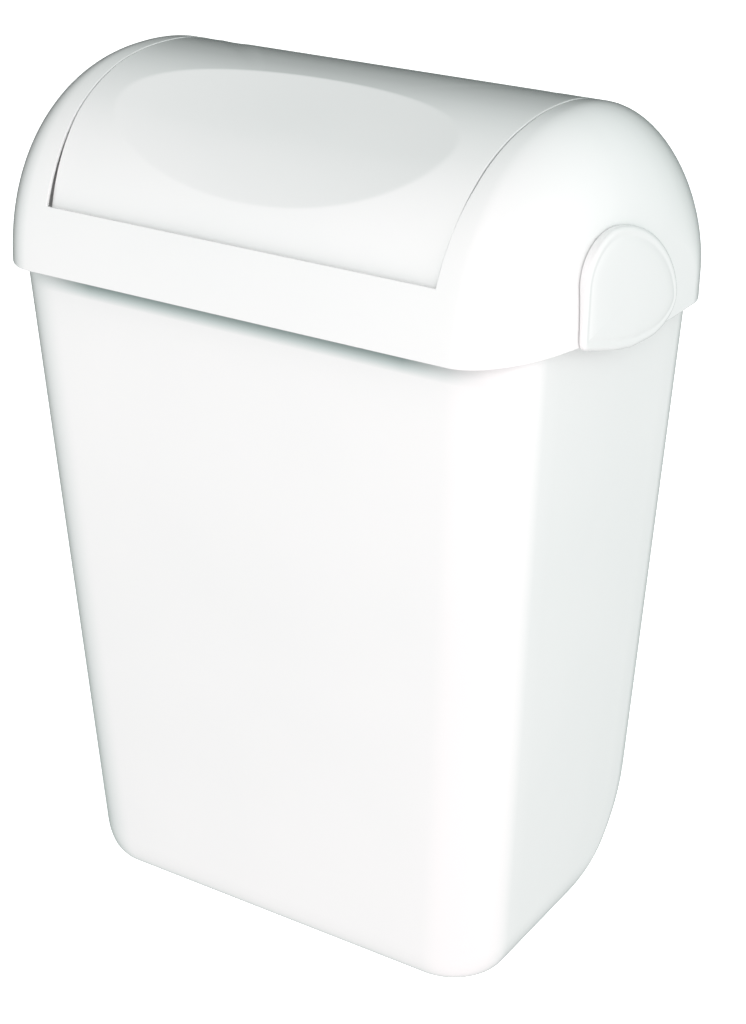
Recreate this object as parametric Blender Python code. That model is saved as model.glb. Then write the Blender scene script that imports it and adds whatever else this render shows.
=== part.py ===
"""Wall-mountable washroom bin with a lift-off domed hood and a swing flap.

Metres, +Z up, +Y towards the wall. The origin is the centre of the base of the bounding box.
"""
import math

import bmesh
import bpy
from mathutils import Vector

MM = 0.001

# driving dimensions, millimetres
WALL = 2.5              # moulded wall of body and hood
FLAP_WALL = 2.2
GAP = 0.3               # clearance between separate pieces

BODY_HALF_BASE = 168.0  # half width at the floor
BODY_HALF_TOP = 193.0   # half width at the design height
BODY_FRONT_BASE = -94.0
BODY_FRONT_TOP = -129.5
BODY_BACK = 142.5       # the wall plane
BODY_DESIGN_Z = 483.0
BODY_RIM_Z = 486.0
BODY_CORNER_FRONT = 44.0
BODY_CORNER_BACK = 37.0
BODY_EDGE = 10.0        # fillet round the underside
HEEL = 80.0             # big radius under the back
RIM_STEP = 6.5          # the back steps in here so that the hood ends flush with the wall plane
STEP_Z = 447.0

HOOD_HALF = 205.0
HOOD_FRONT = -142.5
HOOD_BACK = 142.5
HOOD_CROWN_Y = -3.0
HOOD_CROWN_Z = 595.5
HOOD_SHOULDER_Z = 468.0   # the dome's curve starts here
HOOD_LOW_FRONT = 470.3
HOOD_LOW_BACK = 452.0
HOOD_SLOPE = (-80.0, 60.0)  # the lower edge runs down between these two depths
DOME_FRONT = 2.22         # superellipse powers
DOME_BACK = 2.14
END_START = 157.6         # the ends round off from here out
END_POWER = 1.84
END_DROP = (92.0, 47.0, 80.0)  # how far the end face lies inside the front, back and crown

MOUTH_HALF = 147.0        # opening in the hood
LIP_Z = 514.0
MOUTH_BACK = 84.0
CHEEK_BASE_Z = 486.3
FLAP_HALF = 143.5
FLAP_LOW_Z = 509.0
FLAP_BREAK_Y = -110.0     # the flap leaves the dome here and runs straight down
FLAP_RECESS = 10.5
DISH_DEPTH = 7.0
PIVOT_Y = -12.0
PIVOT_Z = 538.0
PIN_R = 4.0
BAR_Y = 62.0
BAR_Z = 528.0
BAR_R = 6.5

LATCH_Y = -30.0
LATCH_PIN_X = 195.0
LATCH_PIN_Z = 528.0
LATCH_OUT = 208.4
LATCH_GAP = 0.6          # room for the lever's top to tip in
LOBE = (-69.5, 535.5, 63.0, 449.7)  # front, top, rear and low edge of the side lobe

RING_Z = 435.0
RING_R = 3.0

PLASTIC = (0.86, 0.88, 0.88)


def clear_scene():
    for item in list(bpy.data.objects):
        bpy.data.objects.remove(item)


def material(name, color, roughness, metallic=0.0):
    made = bpy.data.materials.new(name)
    made.use_nodes = True
    shader = made.node_tree.nodes["Principled BSDF"]
    shader.inputs["Base Color"].default_value = (*color, 1.0)
    shader.inputs["Roughness"].default_value = roughness
    shader.inputs["Metallic"].default_value = metallic
    return made


def add_object(name, mesh_data, look, origin=(0.0, 0.0, 0.0)):
    """Turn a bmesh in millimetres into an object whose origin lies at the given point."""
    shift = Vector(origin)
    for vert in mesh_data.verts:
        vert.co = (vert.co - shift) * MM
    bmesh.ops.remove_doubles(mesh_data, verts=mesh_data.verts, dist=1e-7)
    bmesh.ops.recalc_face_normals(mesh_data, faces=mesh_data.faces)
    mesh = bpy.data.meshes.new(name)
    mesh_data.to_mesh(mesh)
    mesh_data.free()
    made = bpy.data.objects.new(name, mesh)
    made.location = shift * MM
    bpy.context.scene.collection.objects.link(made)
    mesh.materials.append(material(name + "_look", *look))
    return made


def apply_boolean(target, cutter_mesh, operation):
    """Cut or join a bmesh in millimetres, world coordinates, and drop the tool."""
    shift = target.location.copy()
    for vert in cutter_mesh.verts:
        vert.co = vert.co * MM
    bmesh.ops.recalc_face_normals(cutter_mesh, faces=cutter_mesh.faces)
    mesh = bpy.data.meshes.new("tool")
    cutter_mesh.to_mesh(mesh)
    cutter_mesh.free()
    tool = bpy.data.objects.new("tool", mesh)
    bpy.context.scene.collection.objects.link(tool)
    tool.hide_render = True
    tool.display_type = "WIRE"
    step = target.modifiers.new("step", "BOOLEAN")
    step.operation = operation
    step.solver = "EXACT"
    step.object = tool
    bpy.context.view_layer.update()
    graph = bpy.context.evaluated_depsgraph_get()
    result = bpy.data.meshes.new_from_object(target.evaluated_get(graph))
    target.modifiers.remove(step)
    target.data = result
    target.location = shift
    bpy.data.objects.remove(tool)


def loft(rings):
    """Skin a list of closed rings and cap both ends."""
    made = bmesh.new()
    rows = [[made.verts.new(point) for point in ring] for ring in rings]
    for low, high in zip(rows, rows[1:]):
        count = len(low)
        for i in range(count):
            j = (i + 1) % count
            made.faces.new((low[i], low[j], high[j], high[i]))
    made.faces.new(list(reversed(rows[0])))
    made.faces.new(rows[-1])
    return made


def box(low, high):
    made = bmesh.new()
    bmesh.ops.create_cube(made, size=1.0)
    for vert in made.verts:
        for axis in range(3):
            vert.co[axis] = high[axis] if vert.co[axis] > 0 else low[axis]
    return made


def tube_along(axis, start, end, centre, outer, inner=0.0, sides=32):
    """Round bar or sleeve along X, Y or Z between two coordinates."""
    rings = []
    stops = [(start, outer), (end, outer)]
    if inner > 0.0:
        stops += [(end, inner), (start, inner)]
    for place, radius in stops:
        ring = []
        for i in range(sides):
            angle = 2.0 * math.pi * (i + 0.5) / sides
            a = centre[0] + radius * math.cos(angle)
            b = centre[1] + radius * math.sin(angle)
            point = {"X": (place, a, b), "Y": (a, place, b), "Z": (a, b, place)}[axis]
            ring.append(point)
        rings.append(ring)
    if inner <= 0.0:
        return loft(rings)
    made = bmesh.new()
    rows = [[made.verts.new(point) for point in ring] for ring in rings]
    for low, high in zip(rows, rows[1:] + rows[:1]):
        for i in range(sides):
            j = (i + 1) % sides
            made.faces.new((low[i], low[j], high[j], high[i]))
    return made


def bent_tube(points, radius, closed, sides=8):
    """Round bar along a path, closed on itself or capped."""
    rings = []
    count = len(points)
    side = Vector((0.0, 0.0, 1.0))
    for i, point in enumerate(points):
        after = points[(i + 1) % count] if closed or i < count - 1 else point
        before = points[i - 1] if closed or i > 0 else point
        along = (Vector(after) - Vector(before)).normalized()
        across = along.cross(side).normalized()
        up = across.cross(along)
        ring = []
        for k in range(sides):
            angle = 2.0 * math.pi * (k + 0.5) / sides
            offset = across * math.cos(angle) + up * math.sin(angle)
            ring.append(Vector(point) + offset * radius)
        rings.append(ring)
    if not closed:
        return loft(rings)
    made = bmesh.new()
    rows = [[made.verts.new(point) for point in ring] for ring in rings]
    for low, high in zip(rows, rows[1:] + rows[:1]):
        for k in range(sides):
            j = (k + 1) % sides
            made.faces.new((low[k], low[j], high[j], high[k]))
    return made


def prism_x(outline, x_low, x_high):
    """Extrude an outline of (y, z) points along X."""
    return loft([[(x, y, z) for y, z in outline] for x in (x_low, x_high)])


# ---- body -------------------------------------------------------------------------------

def rounded_rectangle(half, front, back, r_front, r_back, z, steps=6):
    ring = []
    corners = (
        (half - r_front, front + r_front, r_front, -90.0),
        (half - r_back, back - r_back, r_back, 0.0),
        (r_back - half, back - r_back, r_back, 90.0),
        (r_front - half, front + r_front, r_front, 180.0),
    )
    for cx, cy, radius, first in corners:
        for i in range(steps + 1):
            angle = math.radians(first + 90.0 * i / steps)
            ring.append((cx + radius * math.cos(angle), cy + radius * math.sin(angle), z))
    return ring


def body_ring(z, inset, step=0.0):
    """Outline of the tapered body at height z, moved in by inset, and by step at the back."""
    t = z / BODY_DESIGN_Z
    half = BODY_HALF_BASE + (BODY_HALF_TOP - BODY_HALF_BASE) * t - inset
    front = BODY_FRONT_BASE + (BODY_FRONT_TOP - BODY_FRONT_BASE) * t + inset
    back = BODY_BACK - inset - step
    if z < HEEL:
        back -= HEEL - math.sqrt(HEEL * HEEL - (HEEL - z) ** 2)
    r_front = max(BODY_CORNER_FRONT - inset, 4.0)
    r_back = max(BODY_CORNER_BACK - inset, 4.0) + 1.5 * step
    return rounded_rectangle(half, front, back, r_front, r_back, z)


def make_body():
    levels = [(BODY_EDGE * (1 - math.sin(a)), BODY_EDGE * (1 - math.cos(a)))
              for a in (math.radians(d) for d in (0, 30, 60, 90))]
    outer = [body_ring(z, inset) for inset, z in levels]
    outer += [body_ring(z, 0.0) for z in (22, 36, 52, HEEL, 160, 260, 360, STEP_Z)]
    outer += [body_ring(z, 0.0, RIM_STEP) for z in (STEP_Z + RIM_STEP, BODY_RIM_Z)]
    inner = [body_ring(z, WALL, RIM_STEP) for z in (BODY_RIM_Z, STEP_Z + 2.0)]
    inner += [body_ring(z, WALL + 0.6) for z in (STEP_Z - 6.0, 260, HEEL, 52, 36, 22)]
    inner += [body_ring(BODY_EDGE + 2.0, WALL + 1.5), body_ring(4.0, BODY_EDGE + 1.0)]
    body = add_object("bin_body", loft(outer + inner), (PLASTIC, 0.22))
    for x, z in wall_holes():
        hole = tube_along("Y", BODY_BACK - 8.0, BODY_BACK + 4.0, (x, z), 4.0, sides=20)
        apply_boolean(body, hole, "DIFFERENCE")
    for sign in (-1, 1):
        for y in (-70.0, 80.0):
            x_wall = body_side_x(RING_Z - 6.0) - WALL - 0.2
            low = (min(sign * (x_wall - 8.0), sign * x_wall), y - 9.0, RING_Z - 9.0)
            high = (max(sign * (x_wall - 8.0), sign * x_wall), y + 9.0, RING_Z - RING_R - GAP)
            apply_boolean(body, box(low, high), "UNION")
    return body


def body_side_x(z):
    return BODY_HALF_BASE + (BODY_HALF_TOP - BODY_HALF_BASE) * z / BODY_DESIGN_Z


def wall_holes():
    return [(x, z) for z in (150.0, 400.0) for x in (-90.0, 90.0)]


def make_wall_plugs():
    for i, (x, z) in enumerate(wall_holes()):
        name = "wall_hole_plug_" + str(i + 1)
        face = BODY_BACK - 3.1 - GAP
        plug = add_object(name, tube_along("Y", face - 1.8, face, (x, z), 6.5, sides=20),
                          ((0.75, 0.77, 0.78), 0.4))
        stem = tube_along("Y", face - 1.0, BODY_BACK - 0.4, (x, z), 3.7, sides=20)
        apply_boolean(plug, stem, "UNION")


def make_bag_ring():
    """Bent wire frame that the liner is folded over, with two clips that grip the liner."""
    half = body_side_x(RING_Z) - WALL - 5.0
    front = BODY_FRONT_TOP + 14.0
    back = BODY_BACK - 12.0
    path = rounded_rectangle(half, front, back, 36.0, 32.0, RING_Z, steps=5)
    ring = bent_tube(path, RING_R, closed=True)
    add_object("bag_ring", ring, ((0.72, 0.73, 0.74), 0.25, 1.0))
    for sign, side in ((-1, "left"), (1, "right")):
        clip = tube_along("X", sign * 60.0 - 12.0, sign * 60.0 + 12.0, (front, RING_Z),
                          RING_R + 2.2, RING_R + 0.15, sides=20)
        slot = box((sign * 60.0 - 13.0, front - 2.2, RING_Z - 9.0),
                   (sign * 60.0 + 13.0, front + 2.2, RING_Z - 1.0))
        made = add_object("bag_clip_" + side, clip, ((0.80, 0.82, 0.82), 0.35))
        apply_boolean(made, slot, "DIFFERENCE")


# ---- hood -------------------------------------------------------------------------------

def end_amount(x):
    """0 over the straight middle of the hood, 1 at its end face."""
    t = (abs(x) - END_START) / (HOOD_HALF - END_START)
    t = min(max(t, 0.0), 1.0)
    return 1.0 - (1.0 - t ** END_POWER) ** (1.0 / END_POWER)


def dome_limits(x, inset=0.0):
    k = end_amount(x)
    front = HOOD_FRONT + END_DROP[0] * k + inset
    back = HOOD_BACK - END_DROP[1] * k - inset
    crown = HOOD_CROWN_Z - END_DROP[2] * k - inset
    return front, back, crown


def dome_z(x, y, inset=0.0):
    """Height of the dome's skin over (x, y)."""
    front, back, crown = dome_limits(x, inset)
    if y < HOOD_CROWN_Y:
        t = min((HOOD_CROWN_Y - y) / (HOOD_CROWN_Y - front), 1.0)
        power = DOME_FRONT
    else:
        t = min((y - HOOD_CROWN_Y) / (back - HOOD_CROWN_Y), 1.0)
        power = DOME_BACK
    return HOOD_SHOULDER_Z + (crown - HOOD_SHOULDER_Z) * (1.0 - t ** power) ** (1.0 / power)


def hood_low_z(y):
    t = min(max((y - HOOD_SLOPE[0]) / (HOOD_SLOPE[1] - HOOD_SLOPE[0]), 0.0), 1.0)
    t = t * t * (3.0 - 2.0 * t)
    return HOOD_LOW_FRONT + (HOOD_LOW_BACK - HOOD_LOW_FRONT) * t


def dome_section(x, inset, drop, steps=12):
    """Closed section at x: up the front, over the crown, down the back."""
    front, back, crown = dome_limits(x, inset)
    rise = crown - HOOD_SHOULDER_Z
    points = [(x, front, hood_low_z(front) - drop)]
    for i in range(steps + 1):
        angle = math.radians(90.0 * i / steps)
        y = HOOD_CROWN_Y - (HOOD_CROWN_Y - front) * math.cos(angle) ** (2.0 / DOME_FRONT)
        z = HOOD_SHOULDER_Z + rise * math.sin(angle) ** (2.0 / DOME_FRONT)
        points.append((x, y, max(z, points[0][2] + 1.0)))
    for i in range(steps - 1, -1, -1):
        angle = math.radians(90.0 * i / steps)
        y = HOOD_CROWN_Y + (back - HOOD_CROWN_Y) * math.cos(angle) ** (2.0 / DOME_BACK)
        z = HOOD_SHOULDER_Z + rise * math.sin(angle) ** (2.0 / DOME_BACK)
        points.append((x, y, z))
    points.append((x, back, hood_low_z(back) - drop))
    for i in range(1, 6):
        y = back + (front - back) * i / 6.0
        points.append((x, y, hood_low_z(y) - drop))
    return points


def dome_solid(inset, drop):
    reach = HOOD_HALF - inset
    span = HOOD_HALF - END_START
    ends = [END_START + span * math.sin(math.radians(a)) for a in (25, 42, 56, 68, 78, 85)]
    ends = [x for x in ends if x < reach - 0.5] + [reach]
    places = [-x for x in reversed(ends)] + [-END_START, 0.0, END_START] + ends
    return loft([dome_section(x, inset, drop) for x in places])


def make_hood():
    hood = add_object("hood", dome_solid(0.0, 0.0), (PLASTIC, 0.2))
    apply_boolean(hood, dome_solid(WALL, 30.0), "DIFFERENCE")
    mouth = prism_x(mouth_outline(), -MOUTH_HALF, MOUTH_HALF)
    apply_boolean(hood, mouth, "DIFFERENCE")
    for sign in (-1, 1):
        apply_boolean(hood, cheek_solid(sign), "UNION")
    apply_boolean(hood, prism_x(ledge_outline(), -MOUTH_HALF - 1.0, MOUTH_HALF + 1.0), "UNION")
    for sign in (-1, 1):
        hole = tube_along("X", sign * 140.0, sign * 156.0, (PIVOT_Y, PIVOT_Z), 7.2)
        apply_boolean(hood, hole, "DIFFERENCE")
    notch = box((190.0, LATCH_Y - 15.0, 440.0), (206.0, LATCH_Y + 15.0, LATCH_PIN_Z + 3.0))
    apply_boolean(hood, notch, "DIFFERENCE")
    for y in (LATCH_Y - 21.0, LATCH_Y + 16.5):
        apply_boolean(hood, latch_lug(y), "UNION")
    bore = tube_along("Y", LATCH_Y - 24.0, LATCH_Y + 24.0, (LATCH_PIN_X, LATCH_PIN_Z), 2.25,
                      sides=20)
    apply_boolean(hood, bore, "DIFFERENCE")
    return hood


def mouth_outline():
    return [(HOOD_FRONT - 10.0, LIP_Z), (HOOD_FRONT + 16.0, LIP_Z), (HOOD_FRONT + 16.0, 500.0),
            (MOUTH_BACK, 500.0), (MOUTH_BACK, 640.0), (HOOD_FRONT - 10.0, 640.0)]


def inside_dome(shape):
    """The stretch of a shape that lies inside the dome, up to the middle of its wall."""
    core = add_object("core", dome_solid(WALL * 0.5, 0.0), (PLASTIC, 0.2))
    apply_boolean(core, shape, "INTERSECT")
    made = bmesh.new()
    made.from_mesh(core.data)
    bpy.data.objects.remove(core)
    for vert in made.verts:
        vert.co = vert.co / MM
    return made


def cheek_solid(sign):
    """Inner wall of a cheek: under the dome's skin, standing on the body's rim."""
    xs = sorted((sign * (MOUTH_HALF + 0.2), sign * (MOUTH_HALF + 0.2 + WALL)))
    slab = box((xs[0], HOOD_FRONT - 9.0, CHEEK_BASE_Z), (xs[1], HOOD_BACK + 9.0, 640.0))
    return inside_dome(slab)


def latch_lug(y):
    """Ear inside the hood that holds one end of the latch pin."""
    return inside_dome(box((LATCH_PIN_X - 5.5, y, LATCH_PIN_Z - 5.5),
                           (HOOD_HALF + 2.0, y + 4.5, LATCH_PIN_Z + 5.5)))


def ledge_outline():
    """Rebate behind the mouth that the flap's rear edge closes against."""
    top = dome_z(0.0, MOUTH_BACK) - FLAP_WALL - 3.5
    return [(MOUTH_BACK - 8.0, top), (MOUTH_BACK - 8.0, top - 2.5), (MOUTH_BACK + 10.0, top - 8.0),
            (MOUTH_BACK + 10.0, dome_z(0.0, MOUTH_BACK + 10.0) - 1.2),
            (MOUTH_BACK + 0.1, dome_z(0.0, MOUTH_BACK) - 1.2), (MOUTH_BACK + 0.1, top)]


def make_hood_fittings():
    for sign, side in ((-1, "left"), (1, "right")):
        sleeve = tube_along("X", sign * (MOUTH_HALF - 0.3), sign * 153.0, (PIVOT_Y, PIVOT_Z),
                            7.0, PIN_R + 0.2)
        bush = add_object("pivot_bush_" + side, sleeve, ((0.55, 0.58, 0.60), 0.5))
        flange = tube_along("X", sign * (MOUTH_HALF - 1.8), sign * (MOUTH_HALF - 0.3),
                            (PIVOT_Y, PIVOT_Z), 10.0, PIN_R + 0.2)
        apply_boolean(bush, flange, "UNION")
        top = dome_z(0.0, MOUTH_BACK) - FLAP_WALL - 3.5
        pad = tube_along("Z", top + 0.15, top + 2.2, (sign * 90.0, MOUTH_BACK - 4.2), 3.4, sides=20)
        add_object("flap_bumper_" + side, pad, ((0.12, 0.12, 0.12), 0.7))


# ---- flap -------------------------------------------------------------------------------

def flap_height(y, inset):
    """Skin of the flap: the dome's own curve, then straight down behind the lip."""
    return dome_z(0.0, y, inset)


def flap_profile(inset, steps=14):
    """Points (y, z) from the rear edge over the crown to the lower edge."""
    rear = MOUTH_BACK - GAP - 0.4
    points = []
    for i in range(steps + 1):
        y = rear + (FLAP_BREAK_Y - rear) * math.sin(math.radians(90.0 * i / steps)) ** 0.9
        points.append((y, flap_height(y, inset)))
    break_z = points[-1][1]
    foot_y = HOOD_FRONT + FLAP_RECESS + inset
    for i in range(1, 7):
        t = i / 6.0
        points.append((FLAP_BREAK_Y + (foot_y - FLAP_BREAK_Y) * t + 1.5 * math.sin(math.pi * t),
                       break_z + (FLAP_LOW_Z - break_z) * t))
    return points


def dish_depth(x, y):
    """Depth of the scooped oval: blunt on the left, running to a point on the right."""
    across = (x + 6.0) / 118.0
    along = (y + 88.0 + 10.0 * across) / (48.0 * (1.0 - 0.25 * across * across))
    reach = across * across + along * along
    if reach >= 1.0:
        return 0.0
    return DISH_DEPTH * (1.0 - reach) ** 0.6


def make_flap():
    columns = 22
    outer_line = flap_profile(0.0)
    inner_line = flap_profile(FLAP_WALL)
    made = bmesh.new()
    grid = []
    for line in (outer_line, inner_line):
        rows = []
        for i, (y, z) in enumerate(line):
            before = line[max(i - 1, 0)]
            after = line[min(i + 1, len(line) - 1)]
            normal = Vector((0.0, before[1] - after[1], after[0] - before[0])).normalized()
            row = []
            for j in range(columns + 1):
                x = -FLAP_HALF + 2.0 * FLAP_HALF * j / columns
                point = Vector((x, y, z)) + normal * dish_depth(x, y)
                row.append(made.verts.new(point))
            rows.append(row)
        grid.append(rows)
    outer, inner = grid
    for rows in (outer, inner):
        for low, high in zip(rows, rows[1:]):
            for j in range(columns):
                made.faces.new((low[j], low[j + 1], high[j + 1], high[j]))
    border = [(i, 0) for i in range(len(outer_line))]
    border += [(len(outer_line) - 1, j) for j in range(1, columns + 1)]
    border += [(i, columns) for i in range(len(outer_line) - 2, -1, -1)]
    border += [(0, j) for j in range(columns - 1, 0, -1)]
    for (i, j), (m, n) in zip(border, border[1:] + border[:1]):
        made.faces.new((outer[i][j], outer[m][n], inner[m][n], inner[i][j]))
    flap = add_object("swing_flap", made, (PLASTIC, 0.2), (0.0, PIVOT_Y, PIVOT_Z))
    for sign in (-1, 1):
        low = min(sign * (FLAP_HALF - 2.2), sign * FLAP_HALF)
        apply_boolean(flap, prism_x(web_outline(), low, low + 2.2), "UNION")
        hole = tube_along("X", sign * 130.0, sign * 150.0, (PIVOT_Y, PIVOT_Z), PIN_R + 0.06)
        apply_boolean(flap, hole, "DIFFERENCE")
        hole = tube_along("X", sign * 130.0, sign * 150.0, (BAR_Y, BAR_Z), 3.1, sides=20)
        apply_boolean(flap, hole, "DIFFERENCE")
    return flap


def web_outline():
    """Side web of the flap, which carries the pivot and the counterweight."""
    inset = FLAP_WALL * 0.5
    ys = [MOUTH_BACK - 11.0, 60.0, 30.0, 0.0, -40.0, -80.0, -108.0]
    top = [(y, dome_z(0.0, y, inset)) for y in ys]
    low = [(-112.0, 530.0), (-60.0, 524.0), (PIVOT_Y, PIVOT_Z - 11.0), (BAR_Y - 4.0, BAR_Z - 9.0),
           (BAR_Y + 9.0, BAR_Z - 3.0)]
    return top + low


def make_flap_fittings():
    centre = (PIVOT_Y, PIVOT_Z)
    inner = FLAP_HALF - 2.2 - GAP
    for sign, side in ((-1, "left"), (1, "right")):
        pin = tube_along("X", sign * inner, sign * 152.0, centre, PIN_R)
        pin = add_object("pivot_pin_" + side, pin, ((0.6, 0.6, 0.62), 0.3, 1.0),
                         (0.0, PIVOT_Y, PIVOT_Z))
        head = tube_along("X", sign * (inner - 2.5), sign * inner, centre, PIN_R + 2.5)
        apply_boolean(pin, head, "UNION")
        nut = tube_along("X", sign * (FLAP_HALF + GAP), sign * (FLAP_HALF + 1.6), (BAR_Y, BAR_Z),
                         5.5, 3.1, sides=20)
        add_object("bar_clip_" + side, nut, ((0.5, 0.5, 0.52), 0.35, 1.0),
                   (0.0, PIVOT_Y, PIVOT_Z))
    bar = tube_along("X", -inner, inner, (BAR_Y, BAR_Z), BAR_R, sides=20)
    bar = add_object("counterweight_bar", bar, ((0.55, 0.56, 0.58), 0.35, 1.0),
                     (0.0, PIVOT_Y, PIVOT_Z))
    stub = tube_along("X", -FLAP_HALF - 1.9, FLAP_HALF + 1.9, (BAR_Y, BAR_Z), 3.0, sides=20)
    apply_boolean(bar, stub, "UNION")


# ---- side latch ------------------------------------------------------------------------

def quarter(centre, radii, first, power=2.0, steps=8):
    """Quarter of a superellipse in (y, z), from the angle first onwards, clockwise."""
    points = []
    for i in range(steps + 1):
        angle = math.radians(first - 90.0 * i / steps)
        c, s = math.cos(angle), math.sin(angle)
        y = centre[0] + radii[0] * math.copysign(abs(c) ** (2.0 / power), c)
        z = centre[1] + radii[1] * math.copysign(abs(s) ** (2.0 / power), s)
        points.append((y, z))
    return points


def lobe_outline():
    """D shape seen from the side: straight front, round top, long round rear, sloping bottom."""
    front, top, rear, low = LOBE
    points = quarter((front + 37.0, top - 29.0), (37.0, 29.0), 180.0, steps=6)
    points += quarter((front + 37.0, low + 19.0), (rear - front - 37.0, top - low - 19.0),
                      90.0, 1.65)[1:]
    points += quarter((rear - 37.0, low + 19.0), (37.0, 19.0), 0.0, steps=5)[1:]
    points += [(front + 69.5, low + 1.5), (front + 45.5, low + 6.5), (front + 23.0, low + 12.8),
               (front + 2.5, low + 19.1), (front, low + 22.5)]
    return points


def make_latch():
    """Side lever: lobe outside the hood, tongue through its wall, boss on the pin."""
    pivot = (LATCH_PIN_X, LATCH_Y, LATCH_PIN_Z)
    centre = (LATCH_PIN_X, LATCH_PIN_Z)
    rings = []
    for x, inset in ((HOOD_HALF - 4.5, 0.0), (LATCH_OUT - 2.6, 0.0), (LATCH_OUT - 0.8, 1.4),
                     (LATCH_OUT, 4.5)):
        rings.append([(x, *move_in(point, inset)) for point in lobe_outline()])
    lever = add_object("side_latch", loft(rings), (PLASTIC, 0.22), pivot)
    room = dome_solid(-LATCH_GAP, 2.0)
    for vert in room.verts:
        vert.co.x += LATCH_GAP
    apply_boolean(lever, room, "DIFFERENCE")
    tongue = box((LATCH_PIN_X + 2.5, LATCH_Y - 9.0, 474.0),
                 (HOOD_HALF + 2.0, LATCH_Y + 9.0, LATCH_PIN_Z + 0.5))
    apply_boolean(lever, tongue, "UNION")
    boss = tube_along("Y", LATCH_Y - 9.0, LATCH_Y + 9.0, centre, 4.4, sides=20)
    apply_boolean(lever, boss, "UNION")
    bore = tube_along("Y", LATCH_Y - 12.0, LATCH_Y + 12.0, centre, 2.06, sides=20)
    apply_boolean(lever, bore, "DIFFERENCE")
    pin = tube_along("Y", LATCH_Y - 22.0, LATCH_Y + 22.0, centre, 2.0, sides=20)
    add_object("latch_pin", pin, ((0.6, 0.6, 0.62), 0.3, 1.0), pivot)
    add_object("latch_spring", spring_coil(centre), ((0.5, 0.5, 0.52), 0.3, 1.0))


def move_in(point, amount):
    """Shift a point of the lobe's outline towards the lobe's middle."""
    centre = (-3.0, 492.0)
    size = math.hypot(point[0] - centre[0], point[1] - centre[1])
    scale = (size - amount) / size
    return (centre[0] + (point[0] - centre[0]) * scale, centre[1] + (point[1] - centre[1]) * scale)


def spring_coil(centre):
    """Torsion spring round the latch pin."""
    turns = 4
    per_turn = 12
    points = []
    for i in range(turns * per_turn + 1):
        angle = 2.0 * math.pi * i / per_turn
        y = LATCH_Y + 9.9 + 4.2 * i / (turns * per_turn)
        points.append((centre[0] + 3.2 * math.cos(angle), y, centre[1] + 3.2 * math.sin(angle)))
    rings = []
    for i, (x, y, z) in enumerate(points):
        angle = 2.0 * math.pi * i / per_turn
        out = Vector((math.cos(angle), 0.0, math.sin(angle)))
        ring = []
        for k in range(6):
            turn = 2.0 * math.pi * k / 6.0
            ring.append(Vector((x, y, z)) + out * 0.45 * math.cos(turn)
                        + Vector((0.0, 0.45 * math.sin(turn), 0.0)))
        rings.append(ring)
    return loft(rings)


def main():
    clear_scene()
    make_body()
    make_wall_plugs()
    make_bag_ring()
    make_hood()
    make_hood_fittings()
    make_flap()
    make_flap_fittings()
    make_latch()


main()
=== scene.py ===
import math

import bmesh
import bpy
from mathutils import Matrix, Vector


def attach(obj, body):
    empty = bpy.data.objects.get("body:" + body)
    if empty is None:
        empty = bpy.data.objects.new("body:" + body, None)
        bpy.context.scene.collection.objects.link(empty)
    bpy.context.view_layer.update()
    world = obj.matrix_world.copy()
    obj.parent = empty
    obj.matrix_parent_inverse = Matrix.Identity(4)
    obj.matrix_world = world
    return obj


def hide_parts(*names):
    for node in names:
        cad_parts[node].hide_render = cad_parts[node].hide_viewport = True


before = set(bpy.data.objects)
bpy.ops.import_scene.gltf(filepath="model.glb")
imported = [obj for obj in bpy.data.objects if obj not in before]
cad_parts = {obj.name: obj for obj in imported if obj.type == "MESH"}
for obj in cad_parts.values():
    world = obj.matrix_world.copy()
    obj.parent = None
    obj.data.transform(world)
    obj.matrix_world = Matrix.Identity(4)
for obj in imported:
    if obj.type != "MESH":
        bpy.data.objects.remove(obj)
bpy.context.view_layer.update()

MM = 0.001

# ---- sizes in mm, the same as the frame's ------------------------------------------------

WALL = 2.5
FLAP_WALL = 2.2

BODY_HALF_BASE = 168.0
BODY_HALF_TOP = 193.0
BODY_FRONT_BASE = -94.0
BODY_FRONT_TOP = -129.5
BODY_BACK = 142.5
BODY_DESIGN_Z = 483.0
BODY_RIM_Z = 486.0
BODY_CORNER_FRONT = 44.0
BODY_CORNER_BACK = 37.0
FOOT_ROUND = (10.5, 25.0)        # how far the round at the foot goes in, and up
HEEL = 80.0                      # radius under the back
RIM_STEP = 6.5                   # how far the back wall steps in behind the hood
STEP_Z = 447.0
RIM_ROUND = 1.25
FLOOR_Z = 3.2
FLOOR_ROUND = (12.0, 12.8)
HOLE_RADIUS = 4.0
HOLE_X = 90.0
HOLE_Z = (150.0, 400.0)
RING_Z = 435.0                   # the bag ring's height and its wire's radius
RING_R = 3.0
LUG_Y = (-70.0, 80.0)
LUG_SIZE = (8.8, 18.0)

# painted shadow line on the neck, just under the hood's front edge: from and to in z, in |x| and in y,
# and its colours on the way up
NECK_SHADOW_Z = (454.0, 476.0)
NECK_SHADOW_X = (118.0, 172.0)
NECK_SHADOW_Y = (-110.0, -90.0)
NECK_SHADOW_STOPS = ((0.22, (0.62, 0.70, 0.69)), (0.42, (0.30, 0.38, 0.37)), (0.66, (0.26, 0.33, 0.32)))

HOOD_HALF = 205.0
HOOD_FRONT = -142.5
HOOD_BACK = 142.5
CROWN_Y = -3.0
CROWN_Z = 595.5
SHOULDER_Z = 468.0
HOOD_LOW_FRONT = 470.3
HOOD_LOW_BACK = 452.0
HOOD_SLOPE = (-80.0, 60.0)       # the y between which the lower edge drops
DOME_FRONT = 2.22                # power of the superellipse in front of the crown
DOME_BACK = 2.14
END_START = 157.6                # where the rounded ends begin
END_POWER = 1.84
END_DROP = (92.0, 47.0, 80.0)    # how far front, back and crown draw in at the ends
END_MIDDLE = (15.0, 485.0)
END_STEPS = 24
LIP_STEPS = 12
FRONT_STEPS = 34
CROWN_STEPS = 24
BACK_STEPS = 20

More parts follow.
